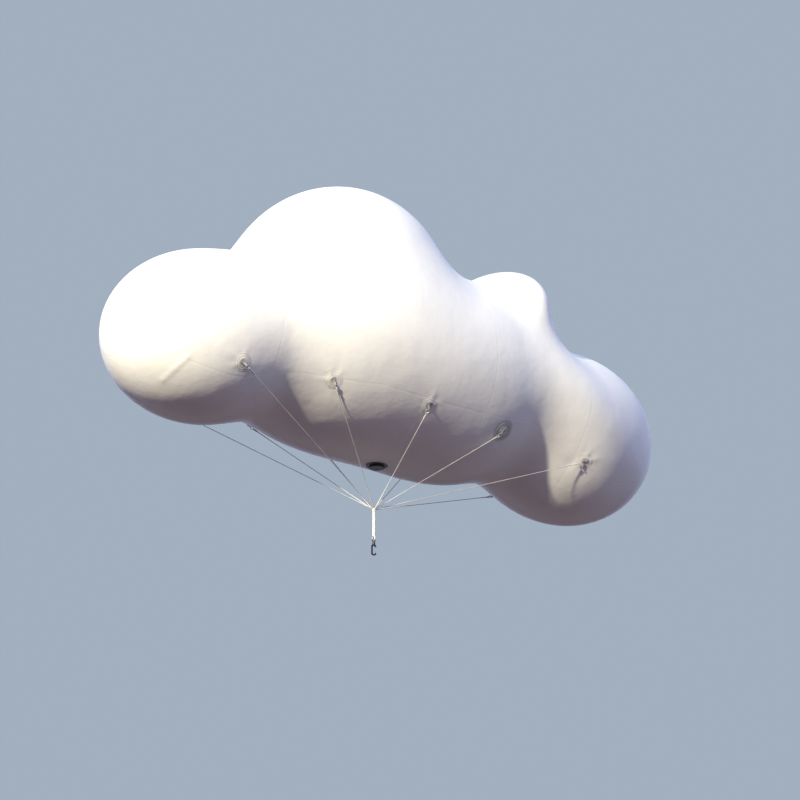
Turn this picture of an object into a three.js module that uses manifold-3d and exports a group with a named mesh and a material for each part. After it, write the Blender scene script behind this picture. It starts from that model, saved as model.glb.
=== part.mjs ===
// Cloud-shaped helium advertising balloon, in millimetres, +Z up.
// +X runs to the small-dome end, -Y is the front. The origin is the centre of the gas space.
import * as THREE from "three";
import { mergeVertices } from "three/addons/utils/BufferGeometryUtils.js";
import Module from "manifold-3d";

const wasm = await Module();
wasm.setup();

const DEG = Math.PI / 180;
const GAP = 0.3; // clear space between pieces that touch

// Envelope: rounded lobes, each an ellipsoid. Its tilt, in degrees, raises its +X end, and over its
// blend length it flows into the lobes before it in the table.
const LOBES = {
  left: { x: -1950, z: -390, along: 975, across: 755, up: 785, tilt: 13, blend: 305 },
  dome: { x: -500, z: 240, along: 1125, across: 935, up: 1295, tilt: -38, blend: 245 },
  smallDome: { x: 1380, z: 540, along: 340, across: 835, up: 535, tilt: 0, blend: 330 },
  right: { x: 2320, z: -395, along: 1015, across: 775, up: 870, tilt: 0, blend: 205 },
  belly: { x: 75, z: -180, along: 2115, across: 1040, up: 955, tilt: 0, blend: 335 },
  shoulder: { x: 910, z: -130, along: 775, across: 690, up: 905, tilt: -22, blend: 450 },
  bridge: { x: 1810, z: -275, along: 950, across: 885, up: 465, tilt: -32, blend: 395 },
};
const SKIN = 10; // wall of the envelope

// The spine is the line that the skin is measured from: [station x, height z].
const SPINE = [
  [LOBES.left.x, LOBES.left.z],
  [-1250, -150],
  [-545, 50],
  [1300, 50],
  [1800, -200],
  [LOBES.right.x, LOBES.right.z],
];

// Stations run along the spine, and past an end lobe's middle they go on round its end.
const CAP_TURN = 66 * DEG; // how far round an end lobe its cap begins
const CAP_STEPS = 2;
const LEFT_CAP = LOBES.left.x - LOBES.left.along * CAP_TURN;
const RIGHT_CAP = LOBES.right.x + LOBES.right.along * CAP_TURN;
const capWidth = (lobe) => lobe.along * (90 * DEG - CAP_TURN);

// Sections of the envelope, end to end: [name, first station, last station, steps].
const SECTIONS = [
  ["left_lobe", LEFT_CAP, -1600, 8],
  ["main_dome", -1600, 640, 13],
  ["small_dome", 640, 1900, 10],
  ["right_lobe", 1900, RIGHT_CAP, 8],
];

// Panels round each section: [name, first angle, last angle], from the top towards the back.
const PANELS = [
  ["top", -45, 45],
  ["back", 45, 135],
  ["bottom", 135, 225],
  ["front", 225, 315],
];
const STEP_ANGLE = 11.25;

// Load patches on the underside, alike on the front and the back: [x, distance from the middle].
const PATCHES = [
  [-1950, 630],
  [-1005, 670],
  [-10, 780],
  [940, 705],
  [2015, 665],
];
const SIDES = [
  ["front", -1],
  ["back", 1],
];
const PATCH = { radius: 85, thick: 4, sides: 24 };
const TAB = {
  width: 34,
  length: 64,
  thick: 3,
  depth: 16, // how far it starts below the patch, before the patch's curve trims it
  lug: 10,
  reach: 34,
  rise: 20,
  end: 9,
  endTurn: 125, // degrees the lug's rounded end goes round its eye
  eye: 4.8,
};
const RING = { radius: 19, wire: 3, wireSides: 6, sides: 16, play: 0.6 };

// Bridle lines: a loop round the ring, a knot, then the straight line.
const LINE = { radius: 3, sides: 6, loop: 12, loopSides: 8, loopWireSides: 6 };
const KNOT = {
  length: 40,
  profile: [
    [0, 0],
    [7, 4],
    [9, 16],
    [4, 40],
    [0, 40],
  ], // radius, distance along the line
};

// The gathering point of the lines, and what hangs from it.
const GATHER = new THREE.Vector3(-30, 0, -1605);
const BUNCH = { top: 14, mouth: 22, waist: 14, taper: 34, length: 265, inside: 16, sides: 20 };
const EYE_LOOP = { radius: 17, wire: 5.5, lap: 4 };
const SWIVEL = { radius: 15.5, wire: 4, shank: 5, head: 8.5, headThick: 5, headPlay: 0.6 };
const COLLAR = { radius: 13, height: 18, bore: 5.5, play: 0.5 };
const HOOK = { width: 50, height: 104, bar: 10, corner: 19, thick: 12, mouthTop: 25, mouthBottom: 80 };
const GATE = { bar: 8, thick: 6, boss: 5.5, pin: 2.4, bore: 2.8, pinDrop: 19, play: 0.5, slot: 6.8, top: 12.5 };

// Filling valve under the belly: a flange and neck, closed by a screwed cap.
const VALVE = {
  section: "main_dome",
  panel: "bottom",
  x: 80,
  y: 100,
  flange: 105,
  flangeThick: 8,
  neck: 52,
  rise: 40,
  bore: 46,
  hole: 54,
};
const CAP = { radius: 72, thick: 24, plug: 45.4, plugRise: 12 };

const skinLook = { color: 0xe9e9ec, roughness: 0.42, metalness: 0 };
const patchLook = { color: 0xd6d6da, roughness: 0.5, metalness: 0 };
const lineLook = { color: 0xe4e2dc, roughness: 0.8, metalness: 0 };
const steelLook = { color: 0x9ba0a6, roughness: 0.35, metalness: 1 };
const darkSteelLook = { color: 0x3a3c40, roughness: 0.45, metalness: 1 };
const valveLook = { color: 0x17181b, roughness: 0.55, metalness: 0 };

// Sides of round wires, of the rings they form, and of posts and pins.
const WIRE_SIDES = 8;
const RING_SIDES = 16;
const ROUND = 24;
const CUT = 1; // how far a cutting body reaches past what it cuts

const balloon = new THREE.Group();

// Distance-like measure from a point to a lobe: negative inside it.
function lobeDistance(p, lobe) {
  const cosine = Math.cos(lobe.tilt * DEG);
  const sine = Math.sin(lobe.tilt * DEG);
  const x = (p.x - lobe.x) * cosine + (p.z - lobe.z) * sine;
  const z = (p.z - lobe.z) * cosine - (p.x - lobe.x) * sine;
  const r = Math.hypot(x / lobe.along, p.y / lobe.across, z / lobe.up);
  const slope = Math.hypot(x / lobe.along ** 2, p.y / lobe.across ** 2, z / lobe.up ** 2) + 1e-9;
  return (r * (r - 1)) / slope;
}

// The same measure for the whole envelope, with the valleys between lobes filled smoothly.
function skinDistance(p) {
  let total = null;
  for (const lobe of Object.values(LOBES)) {
    const d = lobeDistance(p, lobe);
    if (total === null) {
      total = d;
      continue;
    }
    const h = THREE.MathUtils.clamp(0.5 + (0.5 * (d - total)) / lobe.blend, 0, 1);
    total = d * (1 - h) + total * h - lobe.blend * h * (1 - h);
  }
  return total;
}

function spineHeight(x) {
  const last = SPINE.length - 1;
  if (x <= SPINE[0][0]) return SPINE[0][1];
  if (x >= SPINE[last][0]) return SPINE[last][1];
  const i = SPINE.findIndex(([station]) => station > x);
  const [x0, z0] = SPINE[i - 1];
  const [x1, z1] = SPINE[i];
  return z0 + ((z1 - z0) * (x - x0)) / (x1 - x0);
}

// First point, from the start outwards, that lies the given distance outside the skin.
function meetSkin(start, direction, outside) {
  const stride = 25;
  const halvings = 28;
  const at = (t) => skinDistance(start.clone().addScaledVector(direction, t)) - outside;
  let near = 0;
  while (at(near + stride) < 0) near += stride;
  let far = near + stride;
  for (let i = 0; i < halvings; i++) {
    const middle = (near + far) / 2;
    if (at(middle) < 0) near = middle;
    else far = middle;
  }
  return start.clone().addScaledVector(direction, near);
}

// Point of the skin at a station and an angle from the top, moved out by the given distance.
function skinPoint(station, angle, outside) {
  const x = THREE.MathUtils.clamp(station, LOBES.left.x, LOBES.right.x);
  const lobe = station < 0 ? LOBES.left : LOBES.right;
  const turn = (station - x) / lobe.along;
  const around = Math.cos(turn);
  const direction = new THREE.Vector3(Math.sin(turn), around * Math.sin(angle), around * Math.cos(angle));
  return meetSkin(new THREE.Vector3(x, 0, spineHeight(x)), direction, outside);
}

function skinNormal(p) {
  const slope = (axis) => {
    const more = skinDistance(p.clone().add(axis));
    return more - skinDistance(p.clone().sub(axis));
  };
  const x = new THREE.Vector3(1, 0, 0);
  const y = new THREE.Vector3(0, 1, 0);
  const z = new THREE.Vector3(0, 0, 1);
  return new THREE.Vector3(slope(x), slope(y), slope(z)).normalize();
}

// Moves every vertex of a geometry to the point that the function gives for it.
function reshape(geometry, place) {
  const position = geometry.getAttribute("position");
  const p = new THREE.Vector3();
  for (let i = 0; i < position.count; i++) {
    p.fromBufferAttribute(position, i);
    const q = place(p);
    position.setXYZ(i, q.x, q.y, q.z);
  }
  geometry.computeVertexNormals();
  return geometry;
}

// A closed geometry as a solid that can be joined and cut, and back again.
function solid(geometry) {
  const bare = geometry.clone();
  bare.deleteAttribute("normal");
  bare.deleteAttribute("uv");
  const merged = mergeVertices(bare, 1e-3);
  const vertProperties = new Float32Array(merged.attributes.position.array);
  const triVerts = new Uint32Array(merged.index.array);
  return new wasm.Manifold(new wasm.Mesh({ numProp: 3, vertProperties, triVerts }));
}

function geometryOf(body) {
  const mesh = body.getMesh();
  const geometry = new THREE.BufferGeometry();
  geometry.setAttribute("position", new THREE.BufferAttribute(mesh.vertProperties, 3));
  geometry.setIndex(new THREE.BufferAttribute(mesh.triVerts, 1));
  const faceted = geometry.toNonIndexed();
  faceted.computeVertexNormals();
  return faceted;
}

function addPiece(name, geometry, look) {
  const piece = new THREE.Mesh(geometry, new THREE.MeshStandardMaterial(look));
  piece.name = name;
  balloon.add(piece);
}

// Moves a geometry so that its own X and Y lie along two given directions, square to each other.
function lay(geometry, origin, xAxis, yAxis) {
  const zAxis = new THREE.Vector3().crossVectors(xAxis, yAxis);
  return geometry.applyMatrix4(new THREE.Matrix4().makeBasis(xAxis, yAxis, zAxis).setPosition(origin));
}

// Upright cylinder between two heights, about the vertical line through a place's x and y.
function post({ x, y }, radius, low, high) {
  const geometry = new THREE.CylinderGeometry(radius, radius, high - low, ROUND);
  return solid(geometry.rotateX(90 * DEG).translate(x, y, (low + high) / 2));
}

// Stations of the whole envelope from pole to pole, the same as its panels and caps use.
const stations = [RIGHT_CAP];
for (const [, first, last, steps] of [...SECTIONS].reverse()) {
  for (let i = steps - 1; i >= 0; i--) stations.unshift(THREE.MathUtils.lerp(first, last, i / steps));
}
for (let i = 1; i <= CAP_STEPS; i++) {
  stations.unshift(LEFT_CAP - (capWidth(LOBES.left) * i) / CAP_STEPS);
  stations.push(RIGHT_CAP + (capWidth(LOBES.right) * i) / CAP_STEPS);
}

// Angle of a panel edge line, from the two coordinates of a vertex of a round geometry.
function lineAngle(sine, cosine) {
  const turns = Math.round(Math.atan2(sine, cosine) / DEG / STEP_ANGLE);
  return turns * STEP_ANGLE * DEG;
}

// A closed body of the envelope's whole outline, moved out by the given distance.
function wholeBody(outside) {
  const rows = stations.length - 1;
  return reshape(new THREE.SphereGeometry(1, 360 / STEP_ANGLE, rows), (p) => {
    const fromLeft = Math.acos(THREE.MathUtils.clamp(-p.y, -1, 1)) / Math.PI;
    return skinPoint(stations[Math.round(fromLeft * rows)], lineAngle(p.z, p.x), outside);
  });
}

// One panel: a thin box bent onto the skin, with a hair's gap to its neighbours.
function panelGeometry(first, last, steps, from, to) {
  const hair = GAP / 2;
  const hairAngle = hair / LOBES.right.across;
  const inset = (side) => (Math.abs(side) === 0.5 ? Math.sign(side) : 0);
  const box = new THREE.BoxGeometry(1, 1, 1, steps, (to - from) / STEP_ANGLE, 1);
  return reshape(box, (p) => {
    const station = THREE.MathUtils.lerp(first, last, p.x + 0.5) - inset(p.x) * hair;
    const angle = THREE.MathUtils.lerp(from, to, p.y + 0.5) * DEG - inset(p.y) * hairAngle;
    return skinPoint(station, angle, p.z > 0 ? 0 : -SKIN);
  });
}

// An end cap: a thin dish that closes the last ring of panels. The end is -1 left, 1 right.
function capGeometry(edge, end) {
  const lobe = end < 0 ? LOBES.left : LOBES.right;
  const profile = [];
  for (let i = 0; i <= CAP_STEPS; i++) profile.push(new THREE.Vector2(i / CAP_STEPS, 0));
  for (let i = CAP_STEPS; i >= 0; i--) profile.push(new THREE.Vector2(i / CAP_STEPS, 1));
  return reshape(new THREE.LatheGeometry(profile, 360 / STEP_ANGLE), (p) => {
    const radius = Math.hypot(p.x, p.z);
    const rim = radius > 1 - 1e-6 ? GAP / 2 : 0;
    const station = edge + end * ((1 - radius) * capWidth(lobe) + rim);
    const angle = end < 0 ? lineAngle(p.x, p.z) : lineAngle(p.z, p.x);
    return skinPoint(station, angle, p.y > 0.5 ? 0 : -SKIN);
  });
}

// Place of a load patch, with directions out of the skin, along the line's pull and across.
function patchSeat(x, fromMiddle, sign) {
  const start = new THREE.Vector3(x, sign * fromMiddle, spineHeight(x));
  const skin = meetSkin(start, new THREE.Vector3(0, 0, -1), 0);
  const out = skinNormal(skin);
  const centre = skin.clone().addScaledVector(out, GAP + PATCH.thick);
  const along = GATHER.clone().sub(centre).projectOnPlane(out).normalize();
  const across = new THREE.Vector3().crossVectors(out, along);
  const eye = centre.clone().addScaledVector(along, TAB.reach).addScaledVector(out, TAB.rise);
  return { centre, out, along, across, eye };
}

// Upright prism through a patch, which cuts the patch out of a layer over the skin.
function patchPrism({ centre, out, along }) {
  const prism = new THREE.CylinderGeometry(PATCH.radius, PATCH.radius, PATCH.radius, PATCH.sides);
  return solid(lay(prism, centre, along, out));
}

// Webbing tab: a sewn foot and a lug that holds the ring.
function tabSolid({ centre, out, along, across }) {
  const foot = new THREE.BoxGeometry(TAB.length, TAB.thick + TAB.depth, TAB.width);
  lay(foot, centre.clone().addScaledVector(out, (TAB.thick - TAB.depth) / 2), along, out);
  const side = new THREE.Shape();
  side.moveTo(-TAB.length / 2, -TAB.depth);
  side.lineTo(TAB.length / 2, -TAB.depth);
  side.lineTo(TAB.reach + TAB.end, TAB.rise);
  side.absarc(TAB.reach, TAB.rise, TAB.end, 0, TAB.endTurn * DEG, false);
  side.lineTo(-TAB.length / 2, TAB.thick);
  const eye = new THREE.Path();
  eye.absarc(TAB.reach, TAB.rise, TAB.eye, 0, 360 * DEG, true);
  side.holes.push(eye);
  const lug = new THREE.ExtrudeGeometry(side, { depth: TAB.lug, bevelEnabled: false, curveSegments: 5 });
  lay(lug, centre.clone().addScaledVector(across, TAB.lug / 2), along, out);
  return solid(foot).add(solid(lug));
}

// Where a bridle line ends at the bunch: its neighbours stand evenly round it.
function lineEnd(index, sign) {
  const spread = 180 / PATCHES.length;
  const azimuth = (180 - spread * (index + 0.5)) * DEG;
  const offset = new THREE.Vector3(Math.cos(azimuth), sign * Math.sin(azimuth), 0);
  return GATHER.clone().addScaledVector(offset, BUNCH.inside);
}

// Pull of a line at its ring: along the line, across it in the ring's plane, and the ring's far side.
function linePull(seat, index, sign) {
  const end = lineEnd(index, sign);
  const pull = end.clone().sub(seat.eye).normalize();
  const wide = seat.across.clone().projectOnPlane(pull).normalize();
  const bow = seat.eye.clone().addScaledVector(pull, 2 * RING.radius);
  return { end, pull, wide, bow };
}

function ringGeometry(seat, { pull, wide }) {
  const ring = new THREE.TorusGeometry(RING.radius, RING.wire, RING.wireSides, RING.sides);
  return lay(ring, seat.eye.clone().addScaledVector(pull, RING.radius), pull, wide);
}

// A bridle line: loop round the ring's far side, knot, and the line to the bunch.
function lineSolid({ end, pull, wide, bow }) {
  const at = (distance) => bow.clone().addScaledVector(pull, distance);
  const flat = new THREE.Vector3().crossVectors(pull, wide);
  const back = RING.wire + LINE.radius + RING.play;
  const loop = new THREE.TorusGeometry(LINE.loop, LINE.radius, LINE.loopWireSides, LINE.loopSides);
  lay(loop, at(LINE.loop - back), pull, flat);
  const knotStart = 2 * LINE.loop - back - LINE.radius;
  const knotProfile = KNOT.profile.map(([radius, along]) => new THREE.Vector2(radius, along));
  const knot = new THREE.LatheGeometry(knotProfile, WIRE_SIDES);
  lay(knot, at(knotStart), flat, pull);
  const start = knotStart + KNOT.length / 2;
  const length = bow.distanceTo(end) - start;
  const line = new THREE.CylinderGeometry(LINE.radius, LINE.radius, length, LINE.sides);
  lay(line, at(start + length / 2), flat, pull);
  return solid(loop).add(solid(knot)).add(solid(line));
}

// The whipped bunch of line ends, larger all over by the given amount.
function bunchGeometry(extra) {
  const profile = [
    [0, -BUNCH.length - extra],
    [BUNCH.waist + extra, -BUNCH.length - extra],
    [BUNCH.waist + extra, -BUNCH.taper],
    [BUNCH.mouth + extra, -BUNCH.top / 2],
    [BUNCH.mouth + extra, BUNCH.top / 2],
    [BUNCH.inside, BUNCH.top + extra],
    [0, BUNCH.top + extra],
  ];
  const points = profile.map(([radius, height]) => new THREE.Vector2(radius, height));
  return new THREE.LatheGeometry(points, BUNCH.sides).rotateX(90 * DEG).translate(GATHER.x, 0, GATHER.z);
}

// Envelope sections, each of four panels welded edge to edge, and the two end caps.
const valveLow = meetSkin(new THREE.Vector3(VALVE.x, VALVE.y, 0), new THREE.Vector3(0, 0, -1), 0).z;
for (const [section, first, last, steps] of SECTIONS) {
  for (const [panel, from, to] of PANELS) {
    let geometry = panelGeometry(first, last, steps, from, to);
    if (section === VALVE.section && panel === VALVE.panel) {
      const hole = post(VALVE, VALVE.hole, valveLow - VALVE.rise, valveLow + VALVE.rise);
      geometry = geometryOf(solid(geometry).subtract(hole));
    }
    addPiece(`env_${section}_${panel}`, geometry, skinLook);
  }
}
addPiece("env_cap_left", capGeometry(LEFT_CAP, -1), skinLook);
addPiece("env_cap_right", capGeometry(RIGHT_CAP, 1), skinLook);

// Load patches with their tabs, steel rings and bridle lines.
const outsideSkin = solid(wholeBody(GAP));
const patchLayer = solid(wholeBody(GAP + PATCH.thick)).subtract(outsideSkin);
const tabFloor = solid(wholeBody(GAP + PATCH.thick / 2));
const bunchRoom = solid(bunchGeometry(GAP));
for (const [side, sign] of SIDES) {
  PATCHES.forEach(([x, fromMiddle], index) => {
    const label = `${side}_${index + 1}`;
    const seat = patchSeat(x, fromMiddle, sign);
    const line = linePull(seat, index, sign);
    const patch = patchLayer.intersect(patchPrism(seat)).add(tabSolid(seat).subtract(tabFloor));
    addPiece(`load_patch_${label}`, geometryOf(patch), patchLook);
    addPiece(`patch_ring_${label}`, ringGeometry(seat, line), steelLook);
    addPiece(`bridle_line_${label}`, geometryOf(lineSolid(line).subtract(bunchRoom)), lineLook);
  });
}

// The bunch ends in an eye of rope, which stands square to the swivel's eye.
const loopZ = GATHER.z - BUNCH.length - EYE_LOOP.radius + EYE_LOOP.lap;
const ropeEye = new THREE.TorusGeometry(EYE_LOOP.radius, EYE_LOOP.wire, WIRE_SIDES, RING_SIDES);
ropeEye.rotateY(90 * DEG).translate(GATHER.x, 0, loopZ);
addPiece("bridle_bunch", geometryOf(solid(bunchGeometry(0)).add(solid(ropeEye))), lineLook);

// Swivel: an eye hanging in the rope's eye, a shank and a head that carries the hook.
const eyeTop = loopZ - EYE_LOOP.radius + EYE_LOOP.wire + SWIVEL.wire + GAP;
const eyeZ = eyeTop - SWIVEL.radius;
const collarTop = eyeZ - SWIVEL.radius - SWIVEL.wire - COLLAR.play;
const hookTop = collarTop - COLLAR.height;
const headTop = hookTop - HOOK.bar - SWIVEL.headPlay;
const swivelEye = new THREE.TorusGeometry(SWIVEL.radius, SWIVEL.wire, WIRE_SIDES, RING_SIDES);
swivelEye.rotateX(90 * DEG).translate(GATHER.x, 0, eyeZ);
const shank = post(GATHER, SWIVEL.shank, headTop - SWIVEL.headThick / 2, eyeZ - SWIVEL.radius);
const head = post(GATHER, SWIVEL.head, headTop - SWIVEL.headThick, headTop);
addPiece("swivel_eye", geometryOf(solid(swivelEye).add(shank).add(head)), darkSteelLook);

// Rounded rectangle about (0, middle), drawn in the hook's own upright plane.
function roundedRectangle(target, width, height, middle, corner) {
  const x = width / 2 - corner;
  const y = height / 2 - corner;
  target.absarc(x, middle + y, corner, 0, 90 * DEG, false);
  target.absarc(-x, middle + y, corner, 90 * DEG, 180 * DEG, false);
  target.absarc(-x, middle - y, corner, 180 * DEG, 270 * DEG, false);
  target.absarc(x, middle - y, corner, 270 * DEG, 360 * DEG, false);
  return target;
}

// Upright plate of the given outline, centred on the front-to-back middle.
function plate(shape, thick) {
  const geometry = new THREE.ExtrudeGeometry(shape, { depth: thick, bevelEnabled: false, curveSegments: 6 });
  return solid(geometry.rotateX(90 * DEG).translate(GATHER.x, thick / 2, hookTop));
}

// Block between two corners, given from the hook's top centre.
function block(x0, x1, z0, z1, thick) {
  const geometry = new THREE.BoxGeometry(x1 - x0, thick, z1 - z0);
  return solid(geometry.translate(GATHER.x + (x0 + x1) / 2, 0, hookTop + (z0 + z1) / 2));
}

// Short round bar from front to back.
function crossPin(x, z, radius, length) {
  const geometry = new THREE.CylinderGeometry(radius, radius, length, ROUND);
  return solid(geometry.translate(GATHER.x + x, 0, hookTop + z));
}

// Snap hook: a flat link with a mouth in its side, and a collar that turns on the swivel's shank.
const pinX = (HOOK.width - HOOK.bar) / 2;
const inner = new THREE.Path();
const outline = roundedRectangle(new THREE.Shape(), HOOK.width, HOOK.height, -HOOK.height / 2, HOOK.corner);
const innerCorner = HOOK.corner - HOOK.bar;
roundedRectangle(inner, HOOK.width - 2 * HOOK.bar, HOOK.height - 2 * HOOK.bar, -HOOK.height / 2, innerCorner);
outline.holes.push(inner);
const mouthIn = HOOK.width / 2 - HOOK.bar - CUT;
const mouthOut = HOOK.width / 2 + CUT;
const hook = plate(outline, HOOK.thick)
  .add(post(GATHER, COLLAR.radius, hookTop - HOOK.bar / 2, collarTop))
  .subtract(post(GATHER, COLLAR.bore, hookTop - HOOK.bar - CUT, collarTop + CUT))
  .subtract(block(mouthIn, mouthOut, -HOOK.mouthBottom, -HOOK.mouthTop, HOOK.thick + CUT))
  .subtract(block(mouthIn - CUT, mouthOut, -HOOK.mouthTop - CUT, -GATE.top, GATE.slot))
  .add(crossPin(pinX, -GATE.pinDrop, GATE.pin, HOOK.thick));
addPiece("hook_body", geometryOf(hook), darkSteelLook);

// Sprung gate: it closes the mouth and swings inwards about its pin.
const gateTip = -HOOK.mouthBottom + GATE.play;
const gate = crossPin(pinX, -GATE.pinDrop, GATE.boss, GATE.thick)
  .add(block(pinX - GATE.bar / 2, pinX + GATE.bar / 2, gateTip, -GATE.pinDrop, GATE.thick))
  .subtract(crossPin(pinX, -GATE.pinDrop, GATE.bore, GATE.thick + CUT));
addPiece("hook_gate", geometryOf(gate), steelLook);

// Valve flange, cut to the skin above it, with its neck in the gas space.
const flangeLow = valveLow - VALVE.flangeThick;
const neckTop = valveLow + VALVE.rise;
const flange = post(VALVE, VALVE.flange, flangeLow, valveLow + VALVE.rise / 2)
  .subtract(outsideSkin)
  .add(post(VALVE, VALVE.neck, flangeLow, neckTop))
  .subtract(post(VALVE, VALVE.bore, flangeLow - CUT, neckTop + CUT));
addPiece("valve_flange", geometryOf(flange), valveLook);

// Screwed cap with the plug that seals the neck.
const capTop = flangeLow - GAP;
const valveCap = post(VALVE, CAP.radius, capTop - CAP.thick, capTop)
  .add(post(VALVE, CAP.plug, capTop - CUT, capTop + CAP.plugRise));
addPiece("valve_cap", geometryOf(valveCap), valveLook);

export default balloon;
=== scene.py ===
# %% [markdown]
# # A cloud-shaped helium balloon
# The balloon is a white envelope of rounded lobes. Ten bridle lines run from load patches on its
# lower sides to one bunch of rope, and a swivel and a snap hook hang from the bunch.
# The imported model gives the frame, so every piece below is placed in metres, with +Z up and the
# small-dome end towards +X. The first cell loads that frame.

# %% Load the frame
import math

import bmesh
import bpy
import numpy as np
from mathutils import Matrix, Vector


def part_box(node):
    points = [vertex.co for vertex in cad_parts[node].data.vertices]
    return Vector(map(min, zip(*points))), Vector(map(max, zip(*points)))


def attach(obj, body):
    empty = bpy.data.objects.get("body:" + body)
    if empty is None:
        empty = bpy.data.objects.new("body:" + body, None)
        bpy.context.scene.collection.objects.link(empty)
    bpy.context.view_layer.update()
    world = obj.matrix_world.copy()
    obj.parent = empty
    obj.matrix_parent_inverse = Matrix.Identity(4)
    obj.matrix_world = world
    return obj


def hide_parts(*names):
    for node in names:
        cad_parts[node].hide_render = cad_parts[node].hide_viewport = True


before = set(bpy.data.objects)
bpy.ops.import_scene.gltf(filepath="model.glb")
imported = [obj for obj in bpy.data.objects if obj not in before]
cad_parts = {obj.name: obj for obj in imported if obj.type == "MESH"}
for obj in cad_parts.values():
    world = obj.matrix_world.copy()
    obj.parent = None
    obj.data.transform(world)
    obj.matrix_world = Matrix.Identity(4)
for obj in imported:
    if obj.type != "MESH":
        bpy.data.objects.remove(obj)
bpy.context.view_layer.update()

# %% [markdown]
# ## Camera
# The balloon flies well above the viewer, who looks up at its front and its underside. A long lens
# from far off gives the flat perspective of a distant balloon. The camera is aimed a little off the
# balloon's middle, so that the middle falls where it should in the picture and no lens shift is
# needed.

# %% Camera
PICTURE = 800  # pixels across the square picture
SENSOR = 36.0
VIEW_TURN = math.radians(37.9)  # how far the camera stands to the left of the front
VIEW_RISE = math.radians(22.0)  # how far it looks up
VIEW_DISTANCE = 21.0
PIXELS_PER_METRE = 106.0  # at the balloon's middle
MIDDLE_IN_PICTURE = (376.9, 347.5)  # where the origin falls, from the picture's top left corner


def placed(name, data):
    """A new object in the scene."""
    made = bpy.data.objects.new(name, data)
    bpy.context.scene.collection.objects.link(made)
    return made


def aimed_camera():
    level = math.cos(VIEW_RISE)
    aside, ahead = math.sin(VIEW_TURN) * level, math.cos(VIEW_TURN) * level
    outwards = Vector((-aside, -ahead, -math.sin(VIEW_RISE)))
    right = (-outwards).cross(Vector((0, 0, 1))).normalized()
    up = right.cross(-outwards)
    off_right, off_down = (middle - PICTURE / 2 for middle in MIDDLE_IN_PICTURE)
    aim = (off_down * up - off_right * right) / PIXELS_PER_METRE
    data = bpy.data.cameras.new("camera")
    data.sensor_width = SENSOR
    data.lens = PIXELS_PER_METRE * VIEW_DISTANCE / PICTURE * SENSOR
    camera = placed("camera", data)
    camera.location = outwards * VIEW_DISTANCE
    camera.rotation_euler = (aim - camera.location).to_track_quat("-Z", "Y").to_euler()
    return camera


camera = aimed_camera()
bpy.context.scene.camera = camera
print("camera at", [round(x, 2) for x in camera.location], "lens", round(camera.data.lens, 1))

# %% [markdown]
# ## The envelope's shape
# An inflated envelope takes smooth, full shapes, so each lobe is an ellipsoid, and some lean a
# little. A plain union would leave a hard crease between two lobes, and metaballs are hard to size.
# Here each lobe gives a distance-like number, negative inside it, and a smooth minimum joins them.
# The valleys between lobes come out round, as gas pressure leaves them.

# %% Lobes and their smooth union
# Middle x and z, half length, width and height, tilt in degrees, blend with the lobes before it.
LOBES = {
    "left": (-1.950, -0.390, 0.975, 0.755, 0.785, 13, 0.305),
    "dome": (-0.500, 0.240, 1.125, 0.935, 1.295, -38, 0.245),
    "small dome": (1.380, 0.540, 0.340, 0.835, 0.535, 0, 0.330),
    "right": (2.320, -0.395, 1.015, 0.775, 0.870, 0, 0.205),
    "belly": (0.075, -0.180, 2.115, 1.040, 0.955, 0, 0.335),
    "shoulder": (0.910, -0.130, 0.775, 0.690, 0.905, -22, 0.450),
    "bridge": (1.810, -0.275, 0.950, 0.885, 0.465, -32, 0.395),
}
SLOPE_STEP = 0.001  # half the distance over which the skin's slope is taken


def lobe_distance(points, lobe):
    x, z, along, across, up, tilt = lobe[:6]
    cosine, sine = math.cos(math.radians(tilt)), math.sin(math.radians(tilt))
    ahead, above = points[..., 0] - x, points[..., 2] - z
    own_x, own_z = ahead * cosine + above * sine, above * cosine - ahead * sine
    own = np.stack([own_x, points[..., 1], own_z], axis=-1)
    half = np.array([along, across, up])
    reach = np.linalg.norm(own / half, axis=-1)
    slope = np.linalg.norm(own / half**2, axis=-1) + 1e-9
    return reach * (reach - 1) / slope


def skin_distance(points):
    first, *others = LOBES.values()
    total = lobe_distance(points, first)
    for lobe in others:
        d, blend = lobe_distance(points, lobe), lobe[-1]
        share = np.clip(0.5 + 0.5 * (d - total) / blend, 0, 1)
        total = d * (1 - share) + total * share - blend * share * (1 - share)
    return total


def skin_normal(points):
    steps = SLOPE_STEP * np.eye(3)
    slope = [skin_distance(points + step) - skin_distance(points - step) for step in steps]
    slope = np.stack(slope, axis=-1)
    return slope / np.linalg.norm(slope, axis=-1, keepdims=True)


# %% [markdown]
# ## Finding the skin
# The skin is measured from a spine inside the envelope. A station is a place along the spine, and
# an angle turns round it, from the top towards the back. Past the middle of an end lobe the
# stations go on round its end to a pole. From each station and angle a straight walk outwards ends
# at the skin: long strides first, and then the last stride is halved again and again.

# %% Stations and angles
LEFT_END, RIGHT_END = LOBES["left"], LOBES["right"]
SPINE = [  # x, height
    LEFT_END[:2], (-1.250, -0.150), (-0.545, 0.050), (1.300, 0.050), (1.800, -0.200), RIGHT_END[:2],
]
STRIDE, HALVINGS = 0.1, 22


def spine_height(x):
    return np.interp(x, *zip(*SPINE))


def meet_skin(start, direction):
    near = np.zeros(len(start))
    walking = np.arange(len(start))
    while len(walking):
        ahead = start[walking] + direction[walking] * (near[walking] + STRIDE)[:, None]
        walking = walking[skin_distance(ahead) < 0]
        near[walking] += STRIDE
    far = near + STRIDE
    for _ in range(HALVINGS):
        middle = (near + far) / 2
        inside = skin_distance(start + direction * middle[:, None]) < 0
        near, far = np.where(inside, middle, near), np.where(inside, far, middle)
    return start + direction * near[:, None]


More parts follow.
